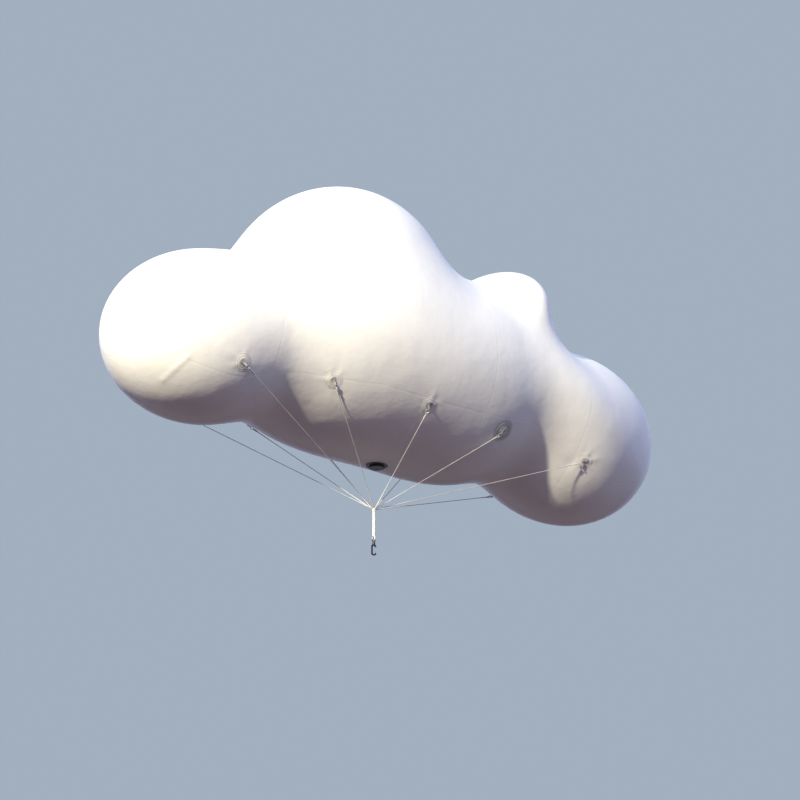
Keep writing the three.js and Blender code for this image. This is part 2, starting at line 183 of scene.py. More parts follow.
def skin_point(station, angle):
    x = np.clip(station, LEFT_END[0], RIGHT_END[0])
    turn = (station - x) / np.where(station < 0, LEFT_END[2], RIGHT_END[2])
    level = np.cos(turn)
    direction = np.stack([np.sin(turn), level * np.sin(angle), level * np.cos(angle)], axis=-1)
    start = np.stack([x, np.zeros_like(x), spine_height(x)], axis=-1)
    return meet_skin(start, direction)


sides = skin_point(np.array([0.0, 0.0]), np.radians([90.0, 270.0]))
print("envelope is", round(float(np.ptp(sides[:, 1])), 2), "m wide at the middle")

# %% [markdown]
# ## Seats for the load patches
# Each line pulls on a round patch welded to the skin. A seat holds what every piece there needs:
# the patch's centre, the way out of the skin, the way towards the gathering point, and the eye
# where the steel ring hangs. Working these out once keeps the patch, its webbing, the ring and the
# line in step.

# %% Patch seats
PATCHES = [  # x, distance from the middle, share of the folds, share of the slack in front
    (-1.950, 0.630, 0.55, 0.45),
    (-1.005, 0.670, 0.70, 0.20),
    (-0.010, 0.780, 0.55, 0.35),
    (0.940, 0.705, 0.25, 0.30),
    (2.015, 0.665, 0.65, 1.00),
]
# The patch of each side that gets a dark ring of painted shade, on its rim and on the skin round
# it.
PAINTED_SHADE_PATCH = 3  # counted from 0 at the left end
PATCH_RADIUS, PATCH_THICK, PATCH_GAP = 0.085, 0.004, 0.0003
EYE_REACH, EYE_RISE = 0.034, 0.020
GATHER = np.array([-0.030, 0.0, -1.605])
GATHER_RADIUS = 0.016
RING_RADIUS, RING_WIRE = 0.019, 0.003


def unit(v):
    return v / np.linalg.norm(v)


def flattened(v, normal):
    return unit(v - normal * (v @ normal))


def patch_seat(index, sign):
    x, from_middle, folds, slack = PATCHES[index]
    start = np.array([[x, sign * from_middle, spine_height(x)]])
    skin = meet_skin(start, np.array([[0.0, 0.0, -1.0]]))
    out = skin_normal(skin)[0]
    centre = skin[0] + out * (PATCH_GAP + PATCH_THICK)
    along = flattened(GATHER - centre, out)
    across = np.cross(out, along)
    eye = centre + along * EYE_REACH + out * EYE_RISE
    turn = math.pi * (1 - (index + 0.5) / len(PATCHES))
    end = GATHER + GATHER_RADIUS * np.array([math.cos(turn), sign * math.sin(turn), 0])
    pull = unit(end - eye)
    return {
        "label": f"{'front' if sign < 0 else 'back'}_{index + 1}",
        "skin": skin[0], "centre": centre, "out": out, "along": along, "across": across,
        "eye": eye, "end": end, "pull": pull, "wide": flattened(across, pull),
        # Whether this patch gets the ring of painted shade.
        "folds": folds, "slack": slack, "painted_shade_ring": index == PAINTED_SHADE_PATCH,
    }


seats = [patch_seat(index, sign) for sign in (-1, 1) for index in range(len(PATCHES))]
for seat in seats[: len(PATCHES)]:
    length = np.linalg.norm(seat["end"] - seat["eye"])
    print(seat["label"], np.round(seat["centre"], 3), "line", round(float(length), 2), "m")

# %% [markdown]
# ## Folds round the patches
# A taut skin shows where it is pulled. From each patch a few shallow folds fan out, longest on the
# side away from the line, and the skin in front of the patch goes slack in a small dent. These are
# real shape, a few millimetres deep, so they catch low light. Each fold is a straight ridge that
# widens and fades as it leaves the patch.

# %% Fold relief
FOLDS = [  # direction from the line's pull in degrees, height, length
    (180, 0.0045, 0.17), (146, -0.0040, 0.13), (118, 0.0040, 0.12), (90, -0.0020, 0.10),
    (214, -0.0040, 0.14), (243, 0.0035, 0.12), (270, -0.0020, 0.10),
    (22, 0.0030, 0.10), (-24, 0.0025, 0.10),
]
FOLD_REACH = 0.7  # beyond this the folds are nothing
FOLD_START, FOLD_FULL = 0.035, 0.095  # flat under the strap, full height from here on
FOLD_HALF, FOLD_SPREAD = 0.016, 0.10  # half width at the patch, and how much wider per metre
DENT_AHEAD, DENT_DEPTH, DENT_SIZE = 0.150, 0.006, 0.060
CREASE = np.array([[-2.515, -0.260, -1.015], [-2.485, -0.390, -0.945], [-2.435, -0.505, -0.860]])
CREASE_HEIGHT, CREASE_HALF = 0.0042, 0.028
LANDINGS = 6  # moves along the slope that bring a point onto the skin


def crease_relief(points):
    """One loose fold along three points under the left lobe, gone at its ends."""
    height = np.zeros(len(points))
    for start, end in zip(CREASE, CREASE[1:]):
        stretch = end - start
        share = np.clip((points - start) @ stretch / (stretch @ stretch), 0, 1)
        away = np.linalg.norm(points - start - share[:, None] * stretch, axis=1)
        height = np.maximum(height, CREASE_HEIGHT * np.exp(-((away / CREASE_HALF) ** 2)))
    return height


def fold_relief(points):
    height = crease_relief(points)
    for seat in seats:
        offset = points - seat["skin"]
        near = np.flatnonzero(np.linalg.norm(offset, axis=1) < FOLD_REACH)
        along, across = offset[near] @ seat["along"], offset[near] @ seat["across"]
        away = np.hypot(along, across)
        start = np.clip((away - FOLD_START) / (FOLD_FULL - FOLD_START), 0, 1)
        total = np.zeros(len(near))
        for direction, rise, length in FOLDS:
            turn = math.radians(direction)
            forward = along * math.cos(turn) + across * math.sin(turn)
            aside = across * math.cos(turn) - along * math.sin(turn)
            width = FOLD_HALF + FOLD_SPREAD * np.clip(forward, 0, None)
            ridge = np.exp(-((aside / width) ** 2)) * np.exp(-((forward / length) ** 2))
            total += seat["folds"] * rise * ridge * (forward > 0)
        dent = ((along - DENT_AHEAD) ** 2 + across**2) / DENT_SIZE**2
        height[near] += start * (total - seat["slack"] * DENT_DEPTH * np.exp(-dent))
    return height


def on_skin(points, height):
    """The points moved onto the skin, a height above it, folds and all."""
    for _ in range(LANDINGS):
        points = points - skin_normal(points) * skin_distance(points)[:, None]
    lift = fold_relief(points) + height
    return points + skin_normal(points) * lift[:, None]


# %% [markdown]
# ## Rows of points
# The envelope is one net of stations and angles. An even net fine enough for the folds would be far
# too heavy, so the rows are close together near the patches and wider apart elsewhere. Rows also
# fall exactly on the welds, which keeps the welds straight.

# %% Spacing and net helpers
def spaced(breaks, centres, fine, coarse, reach):
    """Values through all the breaks, fine steps apart near a centre and coarse steps elsewhere."""
    rows = [breaks[0]]
    for low, high in zip(breaks, breaks[1:]):
        fine_scale = np.linspace(low, high, 500)
        away = np.abs(fine_scale[:, None] - np.array(centres)).min(axis=1)
        step = fine + (coarse - fine) * np.clip(away / reach - 0.5, 0, 1)
        count = np.concatenate([[0], np.cumsum(np.diff(fine_scale) / step[1:])])
        wanted = np.linspace(0, count[-1], max(2, round(count[-1]) + 1))[1:]
        rows += list(np.interp(wanted, count, fine_scale))
    return np.array(rows)


def run_along(points):
    """The length run from the first point, or row of points, to each one."""
    steps = np.linalg.norm(np.diff(points, axis=0), axis=-1)
    return np.concatenate([np.zeros_like(steps[:1]), np.cumsum(steps, axis=0)])


def net_faces(rows, columns):
    """Four-sided faces between neighbouring rows, with the last column joined to the first."""
    here = np.arange(columns)
    after = (here + 1) % columns
    row = np.arange(rows - 1)[:, None] * columns
    below = row + columns
    quads = np.stack([row + here, row + after, below + after, below + here], axis=-1)
    return quads.reshape(-1, 4).tolist()


def carry(piece, name, values):
    """Give each point of a piece one number, for its finish to read."""
    attribute = piece.data.attributes.new(name, "FLOAT", "POINT")
    attribute.data.foreach_set("value", np.asarray(values, np.float32))


def shade_smooth(mesh, degrees):
    """Smooth shading, except at edges that turn by more than so many degrees."""
    mesh.polygons.foreach_set("use_smooth", [True] * len(mesh.polygons))
    mesh.set_sharp_from_angle(angle=math.radians(degrees))


def new_piece(name, points, faces, material, body, smooth_angle=40):
    mesh = bpy.data.meshes.new(name)
    mesh.from_pydata(np.asarray(points, float).tolist(), [], faces)
    mesh.validate()
    shade_smooth(mesh, smooth_angle)
    mesh.materials.append(material)
    piece = placed(name, mesh)
    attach(piece, body)
    return piece


# %% [markdown]
# ## Node helpers
# Every finish is made of shader nodes. One short function adds a node, sets its plain values and
# links the outputs that are passed to it. A few more name the steps that the finishes share: a
# noise, a sum or product, a stretched range, a number that the piece carries, and one colour laid
# over another. They keep the recipes below close to how a maker would say them.

# %% Material helpers
def node(tree, kind, inputs=None, **settings):
    made = tree.nodes.new("ShaderNode" + kind)
    for key, value in settings.items():
        setattr(made, key, value)
    for key, value in (inputs or {}).items():
        if isinstance(value, bpy.types.NodeSocket):
            tree.links.new(value, made.inputs[key])
        else:
            made.inputs[key].default_value = value
    return made


def ramp(tree, value, stops):
    made = node(tree, "ValToRGB", {"Fac": value})
    elements = made.color_ramp.elements
    while len(elements) < len(stops):
        elements.new(0.5)
    for element, (place, colour) in zip(elements, stops):
        element.position = place
        element.color = (*colour, 1) if len(colour) == 3 else colour
    return made.outputs["Color"]


def noise(tree, place, scale, detail, **more):
    inputs = {"Vector": place, "Scale": scale, "Detail": detail, **more}
    return node(tree, "TexNoise", inputs).outputs["Fac"]


def sums(tree, operation, *values):
    return node(tree, "Math", dict(enumerate(values)), operation=operation).outputs[0]


def stretched(tree, value, low, high, new_low=0.0, new_high=1.0):
    inputs = {"Value": value, "From Min": low, "From Max": high}
    inputs |= {"To Min": new_low, "To Max": new_high}
    return node(tree, "MapRange", inputs).outputs["Result"]


def carried(tree, name):
    return node(tree, "Attribute", attribute_name=name).outputs["Fac"]


def laid_over(tree, below, above):
    inputs = {"Fac": 1.0, "Color1": below, "Color2": above}
    return node(tree, "MixRGB", inputs, blend_type="MULTIPLY").outputs["Color"]


def grey(value):
    return (value, value, value)


def bare_material(name, **values):
    """A new material, its node tree, and the place on the piece for its noises."""
    material = bpy.data.materials.new(name)
    material.use_nodes = True
    tree = material.node_tree
    shader = tree.nodes["Principled BSDF"]
    for key, value in values.items():
        shader.inputs[key.replace("_", " ")].default_value = value
    return material, tree, node(tree, "TexCoord").outputs["Object"]


def finished(material, colour, normal=None, roughness=None):
    """The material with its colour, normal and roughness taken from nodes."""
    tree = material.node_tree
    inputs = tree.nodes["Principled BSDF"].inputs
    for name, value in (("Base Color", colour), ("Normal", normal), ("Roughness", roughness)):
        if value is not None:
            tree.links.new(value, inputs[name])
    return material


def bump(tree, height, depth, below=None):
    inputs = {"Height": height, "Distance": depth, "Strength": 1.0}
    if below is not None:
        inputs["Normal"] = below
    return node(tree, "Bump", inputs).outputs["Normal"]


# %% [markdown]
# ## Coated film
# The envelope is a white coated film, smooth and slightly glossy, with faint cloudy patches of dust
# and a fine crumpled grain. Each weld is a flat doubled band about 25 mm wide, with a faint dirt
# line along its edge and fine puckers across it, so it only shows from near by. A soft dark ring of
# painted shade lies on the skin round one load patch of each side. The piece carries four numbers
# on its points, which the nodes read: the distance to the nearest weld, the length run along it,
# how strong the puckers are there, and how strong that painted shade is.

# %% Envelope film
WELD_HALF = 0.013
WELD_RISE = 0.0004
PUCKER_STEP, PUCKER_DEPTH = 0.018, 0.0002
STAIN_REACH = 0.040  # from the weld's middle, where its dirt line has faded out
# How dark the painted shade ring on the skin round a patch gets.
PAINTED_SHADE_TONE = 0.52


def film_colour(tree, place):
    cloud = noise(tree, place, 1.3, 7.0, Roughness=0.6)
    tone = ramp(tree, cloud, [(0.30, (0.80, 0.80, 0.81)), (0.62, (0.87, 0.865, 0.86))])
    edge = stretched(tree, carried(tree, "weld"), 0.0, STAIN_REACH)
    stops = [(0.00, grey(1.0)), (0.28, grey(1.0)), (0.34, grey(0.92)), (0.50, grey(0.98))]
    stained = laid_over(tree, tone, ramp(tree, edge, stops))
    # Painted shade: a soft dark ring on the skin round one patch of each side.
    dirt_and_painted_shade = ramp(tree, carried(tree, "dirt_and_painted_shade"), [(0.0, grey(1.0)), (1.0, grey(PAINTED_SHADE_TONE))])
    return laid_over(tree, stained, dirt_and_painted_shade)


def film_normal(tree, place, speck):
    waves = sums(tree, "MULTIPLY", carried(tree, "run"), 2 * math.pi / PUCKER_STEP)
    shifted = sums(tree, "ADD", waves, sums(tree, "MULTIPLY", speck, 5.0))
    uneven = stretched(tree, speck, 0.42, 0.60)
    strength = sums(tree, "MULTIPLY", carried(tree, "pull"), uneven)
    puckers = sums(tree, "MULTIPLY", sums(tree, "SINE", shifted), strength)
    band = stretched(tree, carried(tree, "weld"), WELD_HALF - 0.001, WELD_HALF + 0.001, 1.0, 0.0)
    normal = bump(tree, noise(tree, place, 4.5, 3.0), 0.006)
    normal = bump(tree, puckers, PUCKER_DEPTH, normal)
    normal = bump(tree, band, WELD_RISE, normal)
    return bump(tree, noise(tree, place, 45.0, 4.0), 0.0004, normal)


def envelope_film():
    gloss = {"Coat_Weight": 0.12, "Coat_Roughness": 0.25}
    material, tree, place = bare_material("white coated film", **gloss)
    speck = noise(tree, place, 6.0, 5.0)
    shine = stretched(tree, speck, 0.0, 1.0, 0.32, 0.50)
    return finished(material, film_colour(tree, place), film_normal(tree, place, speck), shine)


film = envelope_film()

# %% [markdown]
# ## The envelope
# The skin is welded from panels, four round each section, with a round cap at either end. In flight
# they read as one taut surface, so one mesh stands for them all, and its welds lie where the panels
# meet. It follows the smooth union exactly and adds the folds along its normals.

# %% Envelope net
CAP_TURN = math.radians(66)  # how far round an end lobe its cap begins
LEFT_CAP, LEFT_POLE = (LEFT_END[0] - LEFT_END[2] * turn for turn in (CAP_TURN, math.pi / 2))
RIGHT_CAP, RIGHT_POLE = (RIGHT_END[0] + RIGHT_END[2] * turn for turn in (CAP_TURN, math.pi / 2))
RING_WELDS = [LEFT_CAP, -1.600, 0.640, 1.900, RIGHT_CAP]
LONG_WELDS = np.radians([45, 135, 225, 315])
STATION_STEPS = (0.012, 0.040, 0.20)  # fine step, coarse step and reach of the fine steps
ANGLE_STEPS = (0.011, 0.037, 0.19)

fine_spots = [*(seat["skin"] for seat in seats), CREASE[1]]
fine_stations = sorted({round(spot[0], 3) for spot in fine_spots})
fine_angles = [math.atan2(y, z - spine_height(x)) % (2 * math.pi) for x, y, z in fine_spots]
station_breaks, angle_breaks = [LEFT_POLE, *RING_WELDS, RIGHT_POLE], [0, *LONG_WELDS, 2 * math.pi]
stations = spaced(station_breaks, fine_stations, *STATION_STEPS)[1:-1]
angles = spaced(angle_breaks, fine_angles, *ANGLE_STEPS)[:-1]
rows, columns = len(stations), len(angles)
net = skin_point(np.repeat(stations, columns), np.tile(angles, rows))
net = net + skin_normal(net) * fold_relief(net)[:, None]
poles = skin_point(np.array([LEFT_POLE, RIGHT_POLE]), np.zeros(2))
print("envelope net", rows, "by", columns)

# %% Envelope piece
# Radius and spread of the painted shade ring on the skin round a patch.
SHADE_RING_REACH, SHADE_RING_SPREAD = 0.090, 0.022  # from the patch's centre
PUCKER_REACH = 0.060  # from the weld's middle
CROSSING_REACH = 0.050  # puckers are gone this near to where two welds cross
FAR = 9.0  # stands for a distance with no weld near


def nearest_weld(net):
    """Distance to the nearest weld, length run along it, and strength of the puckers across it."""
    grid = net.reshape(rows, columns, 3)
    down = run_along(grid)
    rings = np.concatenate([grid, grid[:, :1]], axis=1)
    round_it = run_along(rings.swapaxes(0, 1)).T
    round_it, girth = round_it[:, :-1], round_it[:, -1:]
    to_ring = np.full((rows, columns), FAR)
    for station in RING_WELDS:
        row = np.abs(stations - station).argmin()
        to_ring = np.minimum(to_ring, np.abs(down - down[row]))
    to_long = np.full((rows, columns), FAR)
    inside_caps = (stations > LEFT_CAP - 1e-6) & (stations < RIGHT_CAP + 1e-6)
    for angle in LONG_WELDS:
        column = np.abs(angles - angle).argmin()
        away = np.abs(round_it - round_it[:, column : column + 1])
        away = np.minimum(away, girth - away)
        to_long = np.where(inside_caps[:, None], np.minimum(to_long, away), FAR)
    weld = np.minimum(to_ring, to_long)
    run = np.where(to_ring < to_long, round_it, down)
    pull = np.clip((PUCKER_REACH - weld) / (PUCKER_REACH - WELD_HALF), 0, 1)
    pull *= np.clip(np.abs(to_ring - to_long) / CROSSING_REACH - 1, 0, 1)
    pull[:, [0, -1]] = 0
    return weld.ravel(), run.ravel(), pull.ravel()


def shade_ring_share(net):
    """A soft ring of painted shade round one patch of each side, from 0 to 1."""
    middles = [seat["skin"] for seat in seats if seat["painted_shade_ring"]]
    away = np.min([np.linalg.norm(net - middle, axis=1) for middle in middles], axis=0)
    return np.exp(-(((away - SHADE_RING_REACH) / SHADE_RING_SPREAD) ** 2))


def envelope_skin():
    last = rows * columns
    faces = net_faces(rows, columns)
    end = (rows - 1) * columns
    faces += [[last, (i + 1) % columns, i] for i in range(columns)]
    faces += [[last + 1, end + i, end + (i + 1) % columns] for i in range(columns)]
    skin = new_piece("envelope_skin", np.concatenate([net, poles]), faces, film, "envelope", 60)
    weld, run, pull = nearest_weld(net)
    carry(skin, "weld", [*weld, FAR, FAR])
    # The last of these numbers is the painted shade ring round one patch of each side.
    for name, values in (("run", run), ("pull", pull), ("dirt_and_painted_shade", shade_ring_share(net))):
        carry(skin, name, [*values, 0, 0])
    return skin


skin = envelope_skin()
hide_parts(*[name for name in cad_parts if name.startswith("env_")])
print("envelope faces", len(skin.data.polygons))

# %% [markdown]
# ## Turned, swept and gathered shapes
# Three shape makers serve all the hardware. A turned shape spins a profile round an axis, as on a
# lathe. A swept shape carries a ring of points along a path, which makes wire, rope and straps. The
# frame of the sweep turns as little as it can, so nothing twists by accident, and a rope's twist is
# added on purpose.

# %% Shape makers
X, Y, Z = np.eye(3)
SOME_WAY = (0.31, 0.57, 0.76)  # a direction that no path here follows
CURVE_STEPS = 24  # between two points of a soft curve, before it is cut evenly


def capped(rows, columns):
    """The faces of a net of rings, closed at both ends."""
    faces = net_faces(rows, columns)
    faces.append(list(range(columns))[::-1])
    faces.append(list(range((rows - 1) * columns, rows * columns)))
    return faces


def full_turn(count):
    return np.linspace(0, 2 * math.pi, count, endpoint=False)


def circle(radius, sides, one_way=(1, 0), other_way=(0, 1)):
    """Points round a circle that lies along two directions."""
    turn = full_turn(sides)[:, None]
    return radius * (np.cos(turn) * one_way + np.sin(turn) * other_way)


def turned(profile, origin, axis, sides):
    """Points and faces of a closed profile of (radius, height) spun round an axis."""
    side = unit(np.cross(axis, Y if abs(axis[1]) < 0.9 else X))
    around = circle(1.0, sides, side, np.cross(axis, side))
    rings = [origin + axis * height + around * radius for radius, height in profile]
    return np.concatenate(rings), capped(len(profile), sides)


def smooth_path(points, step):
    """A soft curve through the points, cut into even steps."""
    points = np.asarray(points, float)
    ends = [2 * points[0] - points[1], *points, 2 * points[-1] - points[-2]]
    curve = []
    t = np.linspace(0, 1, CURVE_STEPS, endpoint=False)[:, None]
    for a, b, c, d in zip(ends, ends[1:], ends[2:], ends[3:]):
        slope, bend, turn = c - a, 2 * a - 5 * b + 4 * c - d, 3 * b - 3 * c + d - a
        curve.append(b + 0.5 * (slope * t + bend * t**2 + turn * t**3))
    curve = np.concatenate([*curve, points[-1:]])
    run = run_along(curve)
    even = np.linspace(0, run[-1], max(2, round(run[-1] / step) + 1))
    return np.stack([np.interp(even, run, curve[:, i]) for i in range(3)], axis=1)


def swept(path, section, scale=1.0, twist=0.0, closed=False, first_side=None):
    """Points and faces of a section of (side, up) points carried along a path."""
    count = len(path)
    ahead = np.gradient(path, axis=0)
    if closed:
        ahead = np.roll(path, -1, axis=0) - np.roll(path, 1, axis=0)
    ahead = ahead / np.linalg.norm(ahead, axis=1, keepdims=True)
    side = first_side if first_side is not None else np.cross(ahead[0], SOME_WAY)
    section = np.asarray(section, float)
    scale = np.broadcast_to(np.asarray(scale, float), (count,))
    run = run_along(path)
    points = []
    for i in range(count):
        side = flattened(side, ahead[i])
        up = np.cross(ahead[i], side)
        cosine, sine = math.cos(twist * run[i]), math.sin(twist * run[i])
        a = section[:, 0] * cosine - section[:, 1] * sine
        b = section[:, 0] * sine + section[:, 1] * cosine
        points.append(path[i] + scale[i] * (a[:, None] * side + b[:, None] * up))
    width = len(section)
    *faces, low_end, high_end = capped(count, width)
    if closed:
        last = (count - 1) * width
        faces += [[last + i, last + (i + 1) % width, (i + 1) % width, i] for i in range(width)]
    if twist:  # cut each leaning face the short way, along the lie of the strands
        faces = [part for a, b, c, d in faces for part in ([a, b, d], [b, c, d])]
    if not closed:
        faces += [low_end, high_end]
    return np.concatenate(points), faces


def gathered(parts):
    """Several shapes as one."""
    points, faces, first = [], [], 0
    for some_points, some_faces in parts:
        points.append(some_points)
        faces += [[first + i for i in face] for face in some_faces]
        first += len(some_points)
    return np.concatenate(points), faces


# %% [markdown]
# ## Patch fabric and webbing
# A load patch is a disc of the same coated cloth, so it hardly shows on the skin. Its middle is
# painted grey round the hardware, a painted shade, and on one patch of each side the band near the
# rim is painted dark, a ring of painted shade. The webbing that holds the ring is woven polyester,
# with fine ribs across its width.

# %% Patch finishes
WEBBING_RIB = 0.0024  # from one rib of the weave to the next


def patch_cloth(name, middle_shade, rim_shade):
    material, tree, place = bare_material(name, Roughness=0.5)
    # Painted shade by radius: grey in the middle round the hardware, and a rim band that is dark on
    # one patch of each side.
    shade_by_radius = ramp(tree, carried(tree, "rim"), [
        (0.00, grey(middle_shade)), (0.26, grey(middle_shade)), (0.46, grey(0.82)),
        (0.66, grey(rim_shade)), (0.92, grey(rim_shade)), (1.00, grey(0.84)),
    ])
    dirt_and_painted_shade = noise(tree, place, 22.0, 6.0)
    worn = ramp(tree, dirt_and_painted_shade, [(0.35, (0.78, 0.76, 0.74)), (0.65, (1.0, 1.0, 1.0))])
    weave = node(tree, "TexVoronoi", {"Vector": place, "Scale": 900.0}).outputs["Distance"]
    return finished(material, laid_over(tree, shade_by_radius, worn), bump(tree, weave, 0.00008))


def webbing(name):
    material, tree, place = bare_material(name, Roughness=0.8, Sheen_Weight=0.3)
    waves = sums(tree, "MULTIPLY", carried(tree, "run"), 2 * math.pi / WEBBING_RIB)
    dirt_and_painted_shade = noise(tree, place, 60.0, 5.0)
    colour = ramp(tree, dirt_and_painted_shade, [(0.3, (0.27, 0.27, 0.275)), (0.7, (0.42, 0.415, 0.41))])
    return finished(material, colour, bump(tree, sums(tree, "SINE", waves), 0.0003))


# Its middle is painted grey, a painted shade round the hardware.
middle_shaded_patch = patch_cloth("patch cloth", 0.46, 0.84)
# This patch's rim band is painted dark, a ring of painted shade.
rim_shaded_patch = patch_cloth("patch cloth with a painted shade ring", 0.60, 0.44)
strap = webbing("grey polyester webbing")

# %% [markdown]
# ## Load patches
# Each patch is a disc that follows the skin under it, folds and all, so it is laid out as rings of
# points on the skin and then given its thickness. It is built up from three layers of cloth, each
# smaller than the one under it, so the pull of the line spreads out step by step.

# %% Load patch discs
PATCH_SIDES = 56
PATCH_RINGS = [  # share of the radius, height above the skin in mm
    (0.00, 4.3), (0.25, 4.3), (0.46, 4.3), (0.50, 4.1), (0.52, 3.0), (0.60, 2.8), (0.72, 2.8),
    (0.75, 2.6), (0.77, 1.6), (0.85, 1.4), (0.93, 1.4), (0.97, 1.2), (1.00, 0.7), (1.00, 0.3),
]


def patch_disc(seat):
    ring = circle(PATCH_RADIUS, PATCH_SIDES, seat["along"], seat["across"])
    points = [on_skin(seat["skin"][None], PATCH_RINGS[0][1] / 1000)]
    for share, height in PATCH_RINGS[1:]:
        points.append(on_skin(seat["skin"] + ring * share, height / 1000))
    points.append(on_skin(seat["skin"][None], PATCH_RINGS[-1][1] / 1000))
    net = net_faces(len(PATCH_RINGS) - 1, PATCH_SIDES)
    faces = [[i + 1 for i in face[::-1]] for face in net]
    outer = 1 + (len(PATCH_RINGS) - 2) * PATCH_SIDES
    bottom = outer + PATCH_SIDES
    faces += [[0, 1 + i, 1 + (i + 1) % PATCH_SIDES] for i in range(PATCH_SIDES)]
    faces += [[bottom, outer + (i + 1) % PATCH_SIDES, outer + i] for i in range(PATCH_SIDES)]
    return np.concatenate(points), faces


def add_patch(seat):
    points, faces = patch_disc(seat)
    # The patch with the painted shade ring takes the finish with the dark rim band.
    material = rim_shaded_patch if seat["painted_shade_ring"] else middle_shaded_patch
    disc = new_piece(f"patch_{seat['label']}", points, faces, material, "envelope")
    middle, *rings = (share for share, _ in PATCH_RINGS)
    carry(disc, "rim", [middle, *np.repeat(rings, PATCH_SIDES), 1.0])
    return disc


discs = [add_patch(seat) for seat in seats]
print("load patches", len(discs))

# %% [markdown]
# ## Webbing tabs
# A strap folded in two is sewn to the patch, and its fold holds the steel ring. The strap is swept
# along its own path in side view: out along the patch, up round the ring's wire and back on top of
# itself. It narrows at the ring, where webbing bunches together.

# %% Webbing tabs
STRAP_THICK = 0.0022
STRAP_FOOT, STRAP_NARROW = 0.034, 0.013
FOOT_HALF = 0.032
STRAP_NARROWS = (-0.010, 0.030)  # it narrows from the first place to the second
STRAP_STEP, STRAP_GAP = 0.0018, 0.0003  # along its path, and between its fold and the wire
STRAP_EDGE = [  # round the strap's section, as shares of half its width and half its thickness
    (-1, -0.5), (-0.93, -1), (0.93, -1), (1, -0.5), (1, 0.5), (0.93, 1), (-0.93, 1), (-1, 0.5),
]


def strap_side_view():
    """(along, out) places of the strap's middle, from the patch's centre, with its half turn."""
    wrap = RING_WIRE + STRAP_THICK / 2 + STRAP_GAP
    low = [(-FOOT_HALF, 0.0008), (-0.012, 0.0008), (0.006, 0.0016), (0.020, 0.0075)]
    turn = np.radians(np.linspace(-62, 118, 9))
    fold = [(EYE_REACH + wrap * math.cos(a), EYE_RISE + wrap * math.sin(a)) for a in turn]
    high = [(0.017, 0.0125), (0.002, 0.0052), (-0.014, 0.0034), (-FOOT_HALF + 0.002, 0.0034)]
    return low + fold + high


def strap_shape(seat):
    flat = [seat["centre"] + seat["along"] * a + seat["out"] * b for a, b in strap_side_view()]
    path = smooth_path(flat, STRAP_STEP)
    reach = (path - seat["centre"]) @ seat["along"]
    half_width = np.interp(reach, STRAP_NARROWS, [STRAP_FOOT, STRAP_NARROW]) / 2
    half_thick = STRAP_THICK / 2
    ahead = np.gradient(path, axis=0)
    points = []
    for i in range(len(path)):
        up = unit(np.cross(seat["across"], ahead[i]))
        for aside, above in STRAP_EDGE:
            offset = seat["across"] * aside * half_width[i] + up * above * half_thick
            points.append(path[i] + offset)
    runs = np.repeat(run_along(path), len(STRAP_EDGE))
    return np.array(points), capped(len(path), len(STRAP_EDGE)), runs


def add_strap(seat):
    """Add the strap at one seat. The result says how far it rises from the patch, in mm."""
    points, faces, runs = strap_shape(seat)
    tab = new_piece(f"webbing_tab_{seat['label']}", points, faces, strap, "envelope")
    carry(tab, "run", runs)
    rise = ((points - seat["centre"]) @ seat["out"]).max()
    return round(float(rise) * 1000)


rise = max(add_strap(seat) for seat in seats)
for seat, disc in zip(seats, discs):
    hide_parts(f"load_patch_{seat['label']}")
print("webbing straps", len(seats), "and they rise", rise, "mm")

# %% [markdown]
# ## Metal
# The rings and the gate are zinc-plated steel: bright, a little mottled, with small scratches. The
# swivel and the hook are blackened steel. Both get their colour and roughness from noise, since
# real metal is never quite even.

# %% Metal finishes
def steel(name, dark, light, rough_low, rough_high):
    material, tree, place = bare_material(name, Metallic=1.0)
    mottled = noise(tree, place, 90.0, 8.0, Roughness=0.7)
    colour = ramp(tree, mottled, [(0.35, dark), (0.70, light)])
    rough = stretched(tree, mottled, 0.0, 1.0, rough_low, rough_high)
    scratches = bump(tree, noise(tree, place, 700.0, 3.0), 0.0001)
    return finished(material, colour, scratches, rough)


bright_steel = steel("zinc-plated steel", (0.52, 0.53, 0.54), (0.68, 0.68, 0.67), 0.22, 0.42)
black_steel = steel("blackened steel", (0.030, 0.031, 0.034), (0.075, 0.074, 0.072), 0.35, 0.55)

# %% Patch rings
RING_STEPS, WIRE_SIDES = 48, 12


def ring_shape(seat):
    middle = seat["eye"] + seat["pull"] * RING_RADIUS
    path = middle + circle(RING_RADIUS, RING_STEPS, seat["pull"], seat["wide"])
    return swept(path, circle(RING_WIRE, WIRE_SIDES), closed=True, first_side=seat["pull"])


for seat in seats:
    ring = new_piece(f"ring_{seat['label']}", *ring_shape(seat), bright_steel, "envelope")
    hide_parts(f"patch_ring_{seat['label']}")
print("patch rings", len(seats), "of", round(RING_RADIUS * 2000), "mm across")

# %% [markdown]
# ## Rope
# The bridle lines are three-strand rope, so their section has three humps and turns as it goes. The
# twist is real shape, because a smooth tube would show as a plain white wire. Fibres are finer than
# a mesh can hold, and come from a fine noise in the finish.

# %% Rope finish and section
ROPE_RADIUS = 0.003
ROPE_LAY = 0.021  # length of one full turn of the strands
ROPE_TWIST = 2 * math.pi / ROPE_LAY
# White rope: the bunch's own colour, and also the painted highlight at the lines' lower ends.
CLEAN_AND_PAINTED_LIGHT_ROPE = (0.86, 0.86, 0.85)


